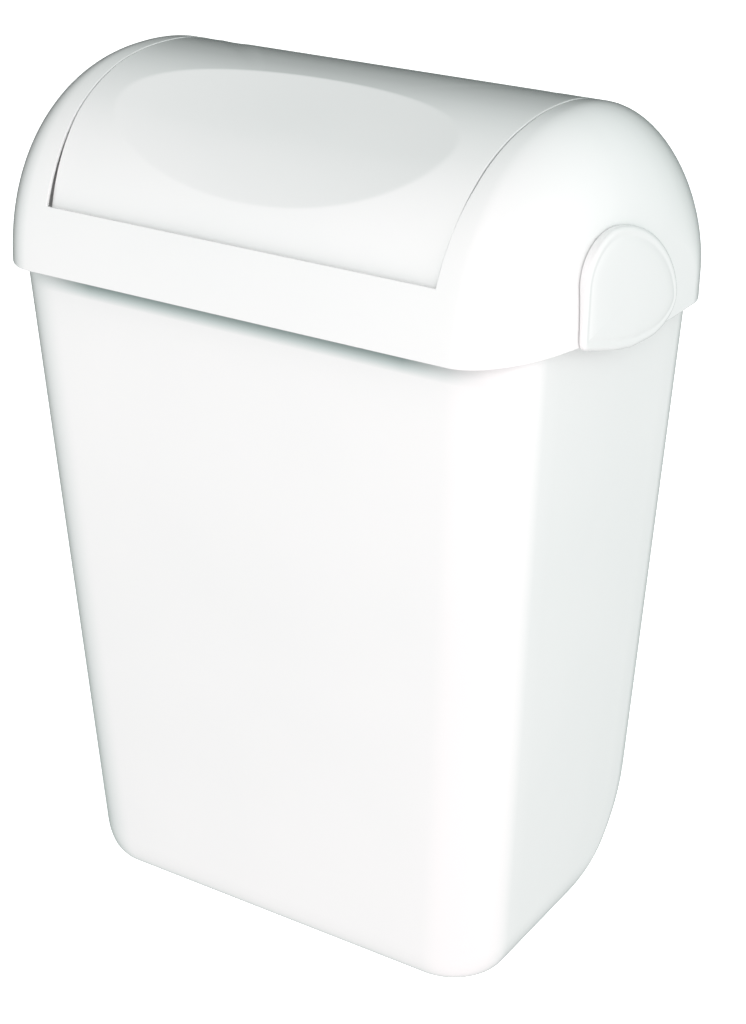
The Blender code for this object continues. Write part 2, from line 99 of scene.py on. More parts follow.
MOUTH_HALF = 147.0
MOUTH_EDGE = ((-136.0, 143.5), (-100.0, 147.0), (-45.0, 149.6))   # y and half width
LIP_Z = 514.0
MOUTH_BACK = 84.0
CHEEK_BASE_Z = 486.3
CHEEK_X = 150.4
FLAP_HALF = 145.8
FLAP_WEB = 143.5
FLAP_LOW_Z = 509.0
FLAP_BREAK_Y = -85.0
FLAP_RECESS = 10.5
FLAP_SIDE_GAP = 0.9
FLAP_REAR_GAP = 0.8
FLAP_FOOT_SLOPE = (-0.17, -0.985)
FLAP_INSIDE = (-12.0, 500.0)     # a point under the flap's skin
PIVOT = (-12.0, 538.0)
BAR = (62.0, 528.0)

DISH_CENTRE = (-2.0, 170.0)      # x, and distance from the flap's rear edge
DISH_SIZE = (121.5, 56.0, 60.0)  # half length, reach towards the rear, reach towards the front
DISH_DEPTH = 9.0
DISH_POWER = 2.2
DISH_RIM = 1.035                 # where the rings of the dish give way to the flap's border

LATCH_Y = -30.0
LATCH_PIN_X = 195.0
LATCH_PIN_Z = 528.0
LATCH_OUT = 208.4
LATCH_GAP = 0.6
PIN_BOSS = 4.4
PIN_BORE = 2.12
PIN_EAR = 2.25
LOBE = (-69.5, 535.5, 63.0, 449.7)       # front, top, rear and low end of the outline
LOBE_ROUND = (37.0, 29.0, 19.0)          # along y, above, and below
LOBE_POWER = 1.65
LOBE_CHIN = ((69.5, 1.5), (45.5, 6.5), (23.0, 12.8), (4.5, 18.4), (1.2, 20.2), (0.0, 23.5))

CAMERA_PLACE = (723.55, -1139.28, 897.91)
CAMERA_TURN = 31.66
CAMERA_RISE = 24.36
CAMERA_ROLL = 1.12
CAMERA_LENS = 74.735
STUDIO_MIDDLE = (0.0, 0.0, 330.0)
STUDIO_REACH = 1900.0


# ---- mesh helpers ------------------------------------------------------------------------

def to_object(name, made, look=None):
    """Smooth-shaded object in metres from a bmesh in mm."""
    for vert in made.verts:
        vert.co *= MM
    data = bpy.data.meshes.new(name)
    made.to_mesh(data)
    made.free()
    piece = bpy.data.objects.new(name, data)
    bpy.context.scene.collection.objects.link(piece)
    if look is not None:
        data.materials.append(look)
    for face in data.polygons:
        face.use_smooth = True
    return piece


def sharpen(piece, degrees):
    piece.data.set_sharp_from_angle(angle=math.radians(degrees))


def finish_mesh(name, made, look=None, sharp=None):
    """Object from a closed bmesh, with outward normals."""
    bmesh.ops.remove_doubles(made, verts=made.verts, dist=0.0005)
    bmesh.ops.recalc_face_normals(made, faces=made.faces)
    piece = to_object(name, made, look)
    if sharp is not None:
        sharpen(piece, sharp)
    return piece


def modify(piece, kind, **settings):
    step = piece.modifiers.new(kind.title(), kind)
    for key, value in settings.items():
        setattr(step, key, value)


def apply_modifiers(piece):
    graph = bpy.context.evaluated_depsgraph_get()
    graph.update()
    data = bpy.data.meshes.new_from_object(piece.evaluated_get(graph), depsgraph=graph)
    piece.modifiers.clear()
    piece.data = data


def soften(piece, width, segments=2, degrees=None):
    """Bevel the edges, or only those sharper than an angle."""
    if degrees is None:
        modify(piece, "BEVEL", width=width * MM, segments=segments)
    else:
        modify(piece, "BEVEL", width=width * MM, segments=segments, limit_method="ANGLE",
               angle_limit=math.radians(degrees))


def cut(piece, made):
    """Take a closed bmesh out of a piece."""
    cutter = finish_mesh("cutter", made)
    modify(piece, "BOOLEAN", object=cutter, operation="DIFFERENCE", solver="EXACT")
    apply_modifiers(piece)
    bpy.data.objects.remove(cutter)


def add_rows(made, rows, close=False):
    """Faces between neighbouring rows of vertices."""
    for low, high in zip(rows, rows[1:]):
        count = len(low)
        for i in range(count if close else count - 1):
            j = (i + 1) % count
            made.faces.new((low[i], low[j], high[j], high[i]))


def loft(rings):
    """Closed solid through a list of rings."""
    made = bmesh.new()
    rows = [[made.verts.new(point) for point in ring] for ring in rings]
    add_rows(made, rows, close=True)
    made.faces.new(rows[0])
    made.faces.new(rows[-1])
    return made


def fan(made, ring, middle):
    """Triangles from a ring of vertices to one in its middle."""
    for i, vert in enumerate(ring):
        made.faces.new((vert, ring[(i + 1) % len(ring)], middle))


def face_up(made):
    """Turn an open skin so that its highest face looks up."""
    bmesh.ops.recalc_face_normals(made, faces=made.faces)
    top = max(made.faces, key=lambda face: face.calc_center_median().z)
    if top.normal.z < 0.0:
        bmesh.ops.reverse_faces(made, faces=made.faces)


def box(low, high):
    corners = ((low[0], low[1]), (high[0], low[1]), (high[0], high[1]), (low[0], high[1]))
    return loft([[(x, y, z) for x, y in corners] for z in (low[2], high[2])])


def circle(centre, radius, sides):
    points = []
    for i in range(sides):
        turn = math.tau * i / sides
        points.append((centre[0] + radius * math.cos(turn), centre[1] + radius * math.sin(turn)))
    return points


def prism_x(outline, xs):
    return loft([[(x, y, z) for y, z in outline] for x in xs])


def prism_y(outline, ys):
    return loft([[(x, y, z) for x, z in outline] for y in ys])


def rod_x(xs, centre, radius):
    return prism_x(circle(centre, radius, 48), xs)


def mirrored(sign, near, far):
    """Lowest and highest x of a span that is given for the right-hand side."""
    return sorted((sign * near, sign * far))


def join(pieces):
    """One object out of several; the first gives the name."""
    made = bmesh.new()
    for piece in pieces:
        made.from_mesh(piece.data)
    made.to_mesh(pieces[0].data)
    made.free()
    for piece in pieces[1:]:
        bpy.data.objects.remove(piece)
    return pieces[0]


def stand_in(piece, body, node):
    """The piece rides on a body, and stands for a CAD node in shape and finish."""
    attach(piece, body)
    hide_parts(node)


def spread(start, end, count):
    return [start + (end - start) * i / count for i in range(count + 1)]


def share(value, start, end):
    """How far value is on the way from start to end, kept within 0 and 1."""
    return min(max((value - start) / (end - start), 0.0), 1.0)


# ---- materials ---------------------------------------------------------------------------

def new_material(name):
    look = bpy.data.materials.new(name)
    look.use_nodes = True
    nodes = look.node_tree.nodes
    return look, nodes, look.node_tree.links, nodes["Principled BSDF"]


def noise(nodes, links, coords, scale, detail=4.0):
    node = nodes.new("ShaderNodeTexNoise")
    node.inputs["Scale"].default_value = scale
    node.inputs["Detail"].default_value = detail
    links.new(coords.outputs["Object"], node.inputs["Vector"])
    return node


def ramp(nodes, links, source, low, high, stops):
    node = nodes.new("ShaderNodeValToRGB")
    for element, place, color in zip(node.color_ramp.elements, stops, (low, high)):
        element.position = place
        element.color = (*color, 1.0)
    links.new(source, node.inputs["Fac"])
    return node


def remap(nodes, links, source, out, given=(0.0, 1.0)):
    """Value from source, given in one range, in another range."""
    node = nodes.new("ShaderNodeMapRange")
    for socket, value in zip(("From Min", "From Max", "To Min", "To Max"), given + out):
        node.inputs[socket].default_value = value
    links.new(source, node.inputs["Value"])
    return node.outputs["Result"]


def math_node(nodes, links, operation, *given):
    """Math node on sockets and numbers."""
    node = nodes.new("ShaderNodeMath")
    node.operation = operation
    for socket, value in zip(node.inputs, given):
        if isinstance(value, float):
            socket.default_value = value
        else:
            links.new(value, socket)
    return node.outputs["Value"]


def bump(nodes, links, shader, height, strength, distance):
    node = nodes.new("ShaderNodeBump")
    node.inputs["Strength"].default_value = strength
    node.inputs["Distance"].default_value = distance
    links.new(height, node.inputs["Height"])
    links.new(node.outputs["Normal"], shader.inputs["Normal"])


def moulded(name, light, dark, rough, grain, coat=0.0):
    """Moulded plastic: faint flow marks in the colour, uneven gloss, a fine skin."""
    look, nodes, links, shader = new_material(name)
    coords = nodes.new("ShaderNodeTexCoord")
    broad = noise(nodes, links, coords, 5.0)
    tint = ramp(nodes, links, broad.outputs["Fac"], dark, light, (0.3, 0.62))
    links.new(tint.outputs["Color"], shader.inputs["Base Color"])
    smears = noise(nodes, links, coords, 38.0, 6.0)
    gloss = remap(nodes, links, smears.outputs["Fac"], (rough - 0.05, rough + 0.05))
    links.new(gloss, shader.inputs["Roughness"])
    skin = noise(nodes, links, coords, 900.0, 2.0)
    waves = noise(nodes, links, coords, 22.0, 1.0)
    height = math_node(nodes, links, "MULTIPLY_ADD", waves.outputs["Fac"], 3.0, skin.outputs["Fac"])
    bump(nodes, links, shader, height, grain, 0.00004)
    shader.inputs["IOR"].default_value = 1.49
    shader.inputs["Coat Weight"].default_value = coat
    shader.inputs["Coat Roughness"].default_value = 0.2
    return look


def paint_neck_shadow(look):
    """Painted shadow band on the body's neck, just under the hood's front edge."""
    nodes, links = look.node_tree.nodes, look.node_tree.links
    shader = nodes["Principled BSDF"]
    unshaded_colour = shader.inputs["Base Color"].links[0].from_socket
    coords = nodes.new("ShaderNodeTexCoord")
    place = nodes.new("ShaderNodeSeparateXYZ")
    links.new(coords.outputs["Object"], place.inputs["Vector"])

    def across(source, limits, out):
        return remap(nodes, links, source, out, tuple(value * MM for value in limits))

    # painted shadow: white below and above, darkest just under the hood's front edge
    shadow_band = nodes.new("ShaderNodeValToRGB")
    for element in shadow_band.color_ramp.elements:
        element.color = (1.0, 1.0, 1.0, 1.0)
    for position, colour in NECK_SHADOW_STOPS:
        shadow_band.color_ramp.elements.new(position).color = (*colour, 1.0)
    links.new(across(place.outputs["Z"], NECK_SHADOW_Z, (0.0, 1.0)), shadow_band.inputs["Fac"])
    outwards = math_node(nodes, links, "ABSOLUTE", place.outputs["X"])
    amount = math_node(nodes, links, "MULTIPLY", across(outwards, NECK_SHADOW_X, (1.0, 0.0)),
                       across(place.outputs["Y"], NECK_SHADOW_Y, (1.0, 0.0)))
    mixed = nodes.new("ShaderNodeMix")
    mixed.data_type, mixed.blend_type = "RGBA", "MULTIPLY"
    links.new(amount, mixed.inputs["Factor"])
    links.new(unshaded_colour, mixed.inputs["A"])
    links.new(shadow_band.outputs["Color"], mixed.inputs["B"])
    links.new(mixed.outputs["Result"], shader.inputs["Base Color"])


def plated(name, light, dark, rough, scale):
    """Zinc plate or drawn wire: metal with mottled colour and fine streaks."""
    look, nodes, links, shader = new_material(name)
    coords = nodes.new("ShaderNodeTexCoord")
    mottle = noise(nodes, links, coords, scale, 8.0)
    tint = ramp(nodes, links, mottle.outputs["Fac"], dark, light, (0.35, 0.65))
    links.new(tint.outputs["Color"], shader.inputs["Base Color"])
    gloss = remap(nodes, links, mottle.outputs["Fac"], (rough - 0.08, rough + 0.1))
    links.new(gloss, shader.inputs["Roughness"])
    fine = noise(nodes, links, coords, scale * 12.0, 3.0)
    bump(nodes, links, shader, fine.outputs["Fac"], 0.25, 0.00003)
    shader.inputs["Metallic"].default_value = 1.0
    return look


def make_looks():
    white, shaded = (0.90, 0.915, 0.91), (0.875, 0.895, 0.89)
    looks = {
        "shell": moulded("white_shell", white, shaded, 0.17, 0.10, coat=0.9),
        "hood": moulded("white_hood", white, shaded, 0.14, 0.08, coat=1.0),
        "flap": moulded("white_flap", white, shaded, 0.16, 0.08, coat=1.0),
        "latch": moulded("white_latch", white, shaded, 0.20, 0.12, coat=0.9),
        "clip": moulded("clip_plastic", (0.78, 0.80, 0.80), (0.70, 0.72, 0.72), 0.36, 0.5),
        "plug": moulded("plug_plastic", (0.62, 0.65, 0.66), (0.54, 0.57, 0.58), 0.42, 0.6),
        "bush": moulded("bush_plastic", (0.40, 0.43, 0.45), (0.33, 0.36, 0.38), 0.45, 0.6),
        "rubber": moulded("bumper_rubber", (0.045, 0.045, 0.045), (0.02, 0.02, 0.02), 0.7, 1.0),
        "wire": plated("ring_wire", (0.74, 0.75, 0.76), (0.55, 0.56, 0.58), 0.24, 160.0),
        "zinc": plated("zinc_steel", (0.66, 0.68, 0.71), (0.46, 0.48, 0.52), 0.32, 90.0),
    }
    # the body's neck gets a painted shadow band under the hood's front edge
    paint_neck_shadow(looks["shell"])
    return looks


# ---- body --------------------------------------------------------------------------------

def rounded_rectangle(half, front, back, r_front, r_back, z, steps=20, straight=10):
    """Closed outline at height z, with points along the straight sides as well."""
    corners = (
        (half - r_front, front + r_front, r_front, -90.0),
        (half - r_back, back - r_back, r_back, 0.0),
        (r_back - half, back - r_back, r_back, 90.0),
        (r_front - half, front + r_front, r_front, 180.0),
    )
    arcs = []
    for cx, cy, radius, first in corners:
        arc = []
        for i in range(steps + 1):
            angle = math.radians(first + 90.0 * i / steps)
            arc.append(Vector((cx + radius * math.cos(angle), cy + radius * math.sin(angle), z)))
        arcs.append(arc)
    ring = []
    for arc, after in zip(arcs, arcs[1:] + arcs[:1]):
        ring += arc
        ring += [arc[-1].lerp(after[0], i / straight) for i in range(1, straight)]
    return ring


def body_side_x(z):
    return BODY_HALF_BASE + (BODY_HALF_TOP - BODY_HALF_BASE) * z / BODY_DESIGN_Z


def body_ring(z, inset, step=0.0, round_in=0.0):
    """Outline of the body at height z, moved in by inset; step moves only the back wall."""
    half = body_side_x(z) - inset
    front = BODY_FRONT_BASE + (BODY_FRONT_TOP - BODY_FRONT_BASE) * z / BODY_DESIGN_Z + inset
    back = BODY_BACK - inset - step
    if z < HEEL:
        back -= HEEL - math.sqrt(HEEL * HEEL - (HEEL - z) ** 2)
    r_front = max(BODY_CORNER_FRONT - inset, 4.0) + round_in
    r_back = max(BODY_CORNER_BACK - inset, 4.0) + 1.5 * step + round_in
    return rounded_rectangle(half, front, back, r_front, r_back, z)


def foot_levels():
    """Round at the foot of the walls, taller than it is deep: (z, inset)."""
    rows = []
    for turn in spread(0.0, math.pi / 2.0, 16):
        rows.append((FOOT_ROUND[1] * (1.0 - math.cos(turn)) ** 1.15,
                     FOOT_ROUND[0] * (1.0 - math.sin(turn))))
    return rows


def body_outside():
    rings = [body_ring(0.0, 70.0, round_in=10.0)]
    rings += [body_ring(z, inset) for z, inset in foot_levels()]
    heights = [29, 36, 44, 52, 60, 70, HEEL] + [HEEL + 20 * i for i in range(1, 18)]
    rings += [body_ring(z, 0.0) for z in heights]
    for i in range(9):
        rise = 0.5 - 0.5 * math.cos(math.pi * i / 8)
        rings.append(body_ring(STEP_Z + RIM_STEP * i / 8, 0.0, RIM_STEP * rise))
    return rings + [body_ring(z, 0.0, RIM_STEP) for z in (458, 470, 482)]


def body_rim():
    rings = []
    for turn in spread(0.0, math.pi, 6):
        rings.append(body_ring(BODY_RIM_Z - RIM_ROUND + RIM_ROUND * math.sin(turn),
                               RIM_ROUND * (1.0 - math.cos(turn)), RIM_STEP))
    return rings


def body_inside():
    rings = [body_ring(z, WALL, RIM_STEP) for z in (470, 458, STEP_Z + 4.0)]
    rings += [body_ring(z, WALL + 0.3) for z in (STEP_Z - 5.0, 420, 360, 300, 240, 180, 120)]
    rings += [body_ring(z, WALL + 0.4) for z in (HEEL, 66, 52, 42, 34, 26, 20)]
    for turn in spread(0.0, math.pi / 2.0, 7)[1:]:
        rings.append(body_ring(FLOOR_Z + FLOOR_ROUND[1] * (1.0 - math.sin(turn)),
                               WALL + 0.6 + FLOOR_ROUND[0] * (1.0 - math.cos(turn))))
    return rings + [body_ring(FLOOR_Z, 80.0, round_in=10.0)]


def ring_lug(sign, y, looks):
    """Ledge on the inside of a side wall, which the bag ring lies on."""
    wall = body_side_x(RING_Z - 6.0) - WALL + 0.8
    x_low, x_high = mirrored(sign, wall - LUG_SIZE[0], wall)
    lug = box((x_low, y - LUG_SIZE[1] / 2.0, RING_Z - 9.0),
              (x_high, y + LUG_SIZE[1] / 2.0, RING_Z - RING_R - 0.35))
    lug = finish_mesh("lug", lug, looks["shell"])
    soften(lug, 0.8)
    apply_modifiers(lug)
    return lug


def make_body(looks):
    rings = body_outside() + body_rim() + body_inside()
    body = finish_mesh("body_shell", loft(rings), looks["shell"])
    for z in HOLE_Z:
        for x in (-HOLE_X, HOLE_X):
            cut(body, prism_y(circle((x, z), HOLE_RADIUS, 30), (BODY_BACK - 8.0, BODY_BACK + 4.0)))
    sharpen(body, 50)
    lugs = [ring_lug(sign, y, looks) for sign in (-1, 1) for y in LUG_Y]
    stand_in(join([body] + lugs), "bin", "bin_body")


# ---- hood --------------------------------------------------------------------------------

def end_amount(x):
    t = share(abs(x), END_START, HOOD_HALF)
    return 1.0 - (1.0 - t ** END_POWER) ** (1.0 / END_POWER)


def dome_limits(x, inset=0.0):
    """Front, back and crown of the dome's section at x."""
    k = end_amount(x)
    front = HOOD_FRONT + END_DROP[0] * k + inset
    back = HOOD_BACK - END_DROP[1] * k - inset
    crown = CROWN_Z - END_DROP[2] * k - inset
    return front, back, crown


def dome_z(x, y, inset=0.0):
    front, back, crown = dome_limits(x, inset)
    if y < CROWN_Y:
        t = min((CROWN_Y - y) / (CROWN_Y - front), 1.0)
        power = DOME_FRONT
    else:
        t = min((y - CROWN_Y) / (back - CROWN_Y), 1.0)
        power = DOME_BACK
    return SHOULDER_Z + (crown - SHOULDER_Z) * (1.0 - t ** power) ** (1.0 / power)


def dome_side_x(y, z):
    """How far out the dome's skin is at (y, z)."""
    low, high = END_START, HOOD_HALF
    for _ in range(40):
        middle = 0.5 * (low + high)
        front, back, _crown = dome_limits(middle)
        if front < y < back and dome_z(middle, y) > z:
            low = middle
        else:
            high = middle
    return low


def hood_low_z(y):
    t = share(y, *HOOD_SLOPE)
    return HOOD_LOW_FRONT + (HOOD_LOW_BACK - HOOD_LOW_FRONT) * t * t * (3.0 - 2.0 * t)


def mouth_half(y):
    """Half width of the mouth, which widens from the lip towards the crown."""
    for (y0, half0), (y1, half1) in zip(MOUTH_EDGE, MOUTH_EDGE[1:]):
        if y < y1:
            return half0 + (half1 - half0) * share(y, y0, y1)
    return MOUTH_EDGE[-1][1]


def splay(x, y):
    """Grid line x of the straight middle, moved sideways to follow the mouth's edges."""
    half = mouth_half(y)
    if abs(x) <= MOUTH_HALF:
        return x * half / MOUTH_HALF
    if abs(x) < END_START:
        t = share(abs(x), MOUTH_HALF, END_START)
        return math.copysign(half + (END_START - half) * t, x)
    return x


def profile_angles():
    """Angles up the front and down the back, and the rows of the lip and of the mouth's edge."""
    lip = math.asin(((LIP_Z - SHOULDER_Z) / (CROWN_Z - SHOULDER_Z)) ** (DOME_FRONT / 2.0))
    edge = math.acos(((MOUTH_BACK - CROWN_Y) / (HOOD_BACK - CROWN_Y)) ** (DOME_BACK / 2.0))
    upright = math.pi / 2.0
    front = spread(0.0, lip, LIP_STEPS) + spread(lip, upright, FRONT_STEPS)[1:]
    back = spread(upright, edge, CROWN_STEPS)[1:] + spread(edge, 0.0, BACK_STEPS)[1:]
    return front, back, LIP_STEPS, len(front) + CROWN_STEPS - 1


def dome_point(x, angle, front, back, crown):
    """Point on the dome's section at x, from the front (0) over the crown to the back (pi)."""
    c, s = math.cos(angle), max(math.sin(angle), 0.0)
    power, reach = (DOME_FRONT, front - CROWN_Y) if c > 0.0 else (DOME_BACK, back - CROWN_Y)
    return (x, CROWN_Y + reach * abs(c) ** (2.0 / power),
            SHOULDER_Z + (crown - SHOULDER_Z) * s ** (2.0 / power))


def hood_section(x, front_angles, back_angles):
    """The hood's outer skin at x, from its lower front edge to its lower back edge."""
    front, back, crown = limits = dome_limits(x)
    first = math.asin(share(hood_low_z(front), SHOULDER_Z, crown) ** (DOME_FRONT / 2.0))
    angles = spread(first, front_angles[LIP_STEPS], LIP_STEPS) + front_angles[LIP_STEPS + 1:]
    angles += [math.pi - angle for angle in back_angles]
    points = [dome_point(x, angle, *limits) for angle in angles]
    return points + [(x, back, z) for z in spread(SHOULDER_Z, hood_low_z(back), 4)[1:]]


def end_columns():
    return [END_START + (HOOD_HALF - END_START) * math.sin(turn)
            for turn in spread(0.0, math.pi / 2.0, END_STEPS)[1:]]


def hood_columns():
    right = [END_START - 5.0, END_START] + end_columns()
    return [-x for x in reversed(right)] + spread(-MOUTH_HALF, MOUTH_HALF, 28) + right


def end_cap(made, rim):
    """Flat end of the hood: its curved rim, the sloping lower edge, then two inner rings."""
    x = rim[0].co.x
    ys = spread(rim[-1].co.y, rim[0].co.y, 16)[1:-1]
    ring = list(rim) + [made.verts.new((x, y, hood_low_z(y))) for y in ys]
    centre = Vector((x, *END_MIDDLE))
    rows = [ring]
    for scale in (0.975, 0.93):
        rows.append([made.verts.new(centre + (v.co - centre) * scale) for v in ring])
    add_rows(made, rows, close=True)
    made.faces.new(rows[-1])


def hood_skin():
    front_angles, back_angles, lip_row, edge_row = profile_angles()
    made = bmesh.new()
    columns = hood_columns()
    grid = []
    for x in columns:
        section = hood_section(x, front_angles, back_angles)
        grid.append([made.verts.new((splay(x, y), y, z)) for x, y, z in section])
    for i, (left, right) in enumerate(zip(grid, grid[1:])):
        inside = abs(columns[i] + columns[i + 1]) / 2.0 < MOUTH_HALF
        for j in range(len(left) - 1):
            if inside and lip_row <= j < edge_row:
                continue
            made.faces.new((left[j], right[j], right[j + 1], left[j + 1]))
    end_cap(made, grid[0])
    end_cap(made, grid[-1])
    face_up(made)
    return made


def shell_object(name, made, look, wall):
    """Thicken an outer skin inwards and round its free edges."""
    piece = to_object(name, made, look)
    modify(piece, "SOLIDIFY", thickness=wall * MM, offset=-1.0, use_even_offset=True)
    soften(piece, 0.9, 3, 50)
    modify(piece, "WEIGHTED_NORMAL", keep_sharp=True)
    apply_modifiers(piece)
    return piece


def make_hood(looks):
    skin = shell_object("hood_shell", hood_skin(), looks["hood"], WALL)
    cut(skin, box((190.0, LATCH_Y - 15.0, 440.0), (206.5, LATCH_Y + 15.0, LATCH_PIN_Z + 3.0)))
    parts = [skin, make_ledge(looks)]
    parts += [make_cheek(sign, looks) for sign in (-1, 1)]
    parts += [make_ear(y, looks) for y in (LATCH_Y - 21.0, LATCH_Y + 16.5)]
    hood = join(parts)
    sharpen(hood, 45)
    stand_in(hood, "hood", "hood")


def make_cheek(sign, looks):
    """Inner wall of a cheek, with the hole for the pivot bush."""
    inset = WALL * 0.6
    outline = []
    front_y = HOOD_FRONT + inset + 0.3
    back_y = HOOD_BACK - inset - 0.3
    for turn in spread(0.0, math.pi, 60):
        y = CROWN_Y - (CROWN_Y - front_y) * math.cos(turn)
        if turn > math.pi / 2.0:
            y = CROWN_Y - (back_y - CROWN_Y) * math.cos(turn)
        z = dome_z(MOUTH_HALF, y, inset)
        if z > CHEEK_BASE_Z:
            outline.append((y, z))
    outline.append((outline[-1][0] + 1.0, CHEEK_BASE_Z))
    outline.insert(0, (outline[0][0] - 0.5, CHEEK_BASE_Z))
    made = prism_x(outline, mirrored(sign, CHEEK_X, CHEEK_X + WALL))
    cheek = finish_mesh("cheek", made, looks["hood"], sharp=40)
    cut(cheek, rod_x(mirrored(sign, 140.0, 156.0), PIVOT, 7.2))
    soften(cheek, 0.3, degrees=60)
    apply_modifiers(cheek)
    return cheek


def make_ear(y, looks):
    """Ear inside the hood that holds one end of the latch pin."""
    outer = dome_side_x(y + 2.0, LATCH_PIN_Z) - 0.8
    ear = box((LATCH_PIN_X - 5.5, y, LATCH_PIN_Z - 5.5), (outer, y + 4.5, LATCH_PIN_Z + 4.5))
    ear = finish_mesh("ear", ear, looks["hood"])
    cut(ear, pin_rod((y - 2.0, y + 6.5), PIN_EAR))
    return ear


def make_ledge(looks):
    """Rebate behind the mouth that the flap's rear edge closes against."""
    top = dome_z(0.0, MOUTH_BACK) - FLAP_WALL - 3.5
    front, edge, rear = MOUTH_BACK - 8.0, MOUTH_BACK + 0.4, MOUTH_BACK + 10.0
    outline = [(front, top), (front, top - 2.5), (rear, top - 8.0),
               (rear, dome_z(0.0, rear) - 1.2), (edge, dome_z(0.0, MOUTH_BACK) - 1.4), (edge, top)]
    made = prism_x(outline, (-MOUTH_HALF - 1.0, MOUTH_HALF + 1.0))
    ledge = finish_mesh("ledge", made, looks["hood"], sharp=30)
    soften(ledge, 0.35, degrees=50)
    apply_modifiers(ledge)
    return ledge


# ---- flap --------------------------------------------------------------------------------

def flap_line():
    """Fine outline of the flap's outer skin as (y, z), with the distance along it."""
    points = [(y, dome_z(0.0, y)) for y in spread(MOUTH_BACK - FLAP_REAR_GAP, FLAP_BREAK_Y, 300)]
    start = Vector(points[-1])
    ahead = (start - Vector(points[-2])).normalized()
    foot = Vector((HOOD_FRONT + FLAP_RECESS, FLAP_LOW_Z))
    reach = (foot - start).length / 3.0
    hold, pull = start + ahead * reach, foot - Vector(FLAP_FOOT_SLOPE) * reach
    for t in spread(0.0, 1.0, 120)[1:]:
        points.append(tuple(start * (1 - t) ** 3 + hold * 3 * t * (1 - t) ** 2
                            + pull * 3 * t * t * (1 - t) + foot * t ** 3))
    run = [0.0]
    for (y0, z0), (y1, z1) in zip(points, points[1:]):
        run.append(run[-1] + math.hypot(y1 - y0, z1 - z0))
    return points, run


def at_run(line, place):
    """Point (y, z) at a distance along the line."""
    points, run = line
    place = min(max(place, 0.0), run[-1])
    low, high = 0, len(run) - 1
    while high - low > 1:
        middle = (low + high) // 2
        if run[middle] <= place:
            low = middle
        else:
            high = middle
    t = (place - run[low]) / (run[high] - run[low])
    return Vector(points[low]).lerp(Vector(points[high]), t)


def flap_point(line, x, s, depth):
    """Point on the flap, s along its outline, sunk by depth."""
    middle = at_run(line, s)
    reach = 4.0
    along = (at_run(line, s + reach) - at_run(line, s - reach)).normalized()
    inward = Vector((along.y, -along.x))
    if inward.dot(Vector(FLAP_INSIDE) - middle) < 0.0:
        inward = -inward
    place = middle + inward * depth
    return (x * (mouth_half(middle.x) - FLAP_SIDE_GAP) / FLAP_HALF, place.x, place.y)


def dish_profile(reach):
    """Depth of the dish from its middle (0) to its rim (1), with a small round at the rim."""
    soft = 0.02
    if reach > 1.0 + soft:
        return 0.0
    if reach > 1.0 - soft:
        t = (1.0 + soft - reach) / (2.0 * soft)
        return DISH_DEPTH * (1.0 - (1.0 - soft) ** DISH_POWER) * t * t
    return DISH_DEPTH * (1.0 - reach ** DISH_POWER)


def dish_point(turn, reach=1.0):
    """Point (x, s) of the dish at a direction, from its middle (0) to its rim (1)."""
    c, s = math.cos(turn), math.sin(turn)
    tall = DISH_SIZE[1] if s < 0.0 else DISH_SIZE[2]
    return DISH_CENTRE[0] + DISH_SIZE[0] * c * reach, DISH_CENTRE[1] + tall * s * reach


def border_point(turn, length):
    """Where a ray from the dish's centre meets the flap's border."""
    x0, s0 = DISH_CENTRE
    x1, s1 = dish_point(turn)
    reaches = []
    for start, end, low, high in ((x0, x1, -FLAP_HALF, FLAP_HALF), (s0, s1, 0.0, length)):
        if abs(end - start) > 1e-9:
            reaches.append(((high if end > start else low) - start) / (end - start))
    return dish_point(turn, min(reaches))


def flap_turns(length):
    """Ray directions: even ones, and the four that end in the flap's corners."""
    turns = [math.tau * i / 144 for i in range(144)]
    x0, s0 = DISH_CENTRE
    for x in (-FLAP_HALF, FLAP_HALF):
        for s in (0.0, length):
            tall = DISH_SIZE[1] if s < s0 else DISH_SIZE[2]
            turn = math.atan2((s - s0) / tall, (x - x0) / DISH_SIZE[0]) % math.tau
            near = min(range(len(turns)), key=lambda i: abs(turns[i] - turn))
            turns[near] = turn
    return sorted(turns)


def flap_skin():
    line = flap_line()
    length = line[1][-1]
    turns = flap_turns(length)
    made = bmesh.new()
    rows = []
    reaches = [i / 20 for i in range(1, 19)] + [0.925, 0.95, 0.965, 0.98, 0.99, 1.0, 1.01, 1.02]
    for reach in reaches + [DISH_RIM]:
        depth = dish_profile(reach)
        rows.append([made.verts.new(flap_point(line, *dish_point(turn, reach), depth))
                     for turn in turns])
    for t in spread(0.0, 1.0, 30)[1:]:
        row = []
        for turn in turns:
            rim, border = Vector(dish_point(turn, DISH_RIM)), Vector(border_point(turn, length))
            row.append(made.verts.new(flap_point(line, *rim.lerp(border, t), 0.0)))
        rows.append(row)
    add_rows(made, rows, close=True)
    fan(made, rows[0], made.verts.new(flap_point(line, *DISH_CENTRE, dish_profile(0.0))))
    face_up(made)
    return made


def web_outline():
    """Side web under the flap's skin, which carries the pivot pin and the counterweight."""
    top = [(y, dome_z(0.0, y, FLAP_WALL * 0.7)) for y in spread(MOUTH_BACK - 11.0, -108.0, 24)]
    return top + [(-112.0, 530.0), (-60.0, 524.0), (PIVOT[0], PIVOT[1] - 11.0),
                  (BAR[0] - 4.0, BAR[1] - 9.0), (BAR[0] + 9.0, BAR[1] - 3.0)]


def make_flap(looks):
    skin = shell_object("flap_shell", flap_skin(), looks["flap"], FLAP_WALL)
    parts = [skin]
    for sign in (-1, 1):
        made = prism_x(web_outline(), mirrored(sign, FLAP_WEB - FLAP_WALL, FLAP_WEB))
        web = finish_mesh("web", made, looks["flap"], sharp=40)
        for centre, radius in ((PIVOT, 4.15), (BAR, 3.2)):
            cut(web, rod_x(mirrored(sign, 130.0, 150.0), centre, radius))
        soften(web, 0.3, degrees=60)
        apply_modifiers(web)
        parts.append(web)
    flap = join(parts)
    sharpen(flap, 55)
    stand_in(flap, "flap", "swing_flap")


# ---- side lever --------------------------------------------------------------------------

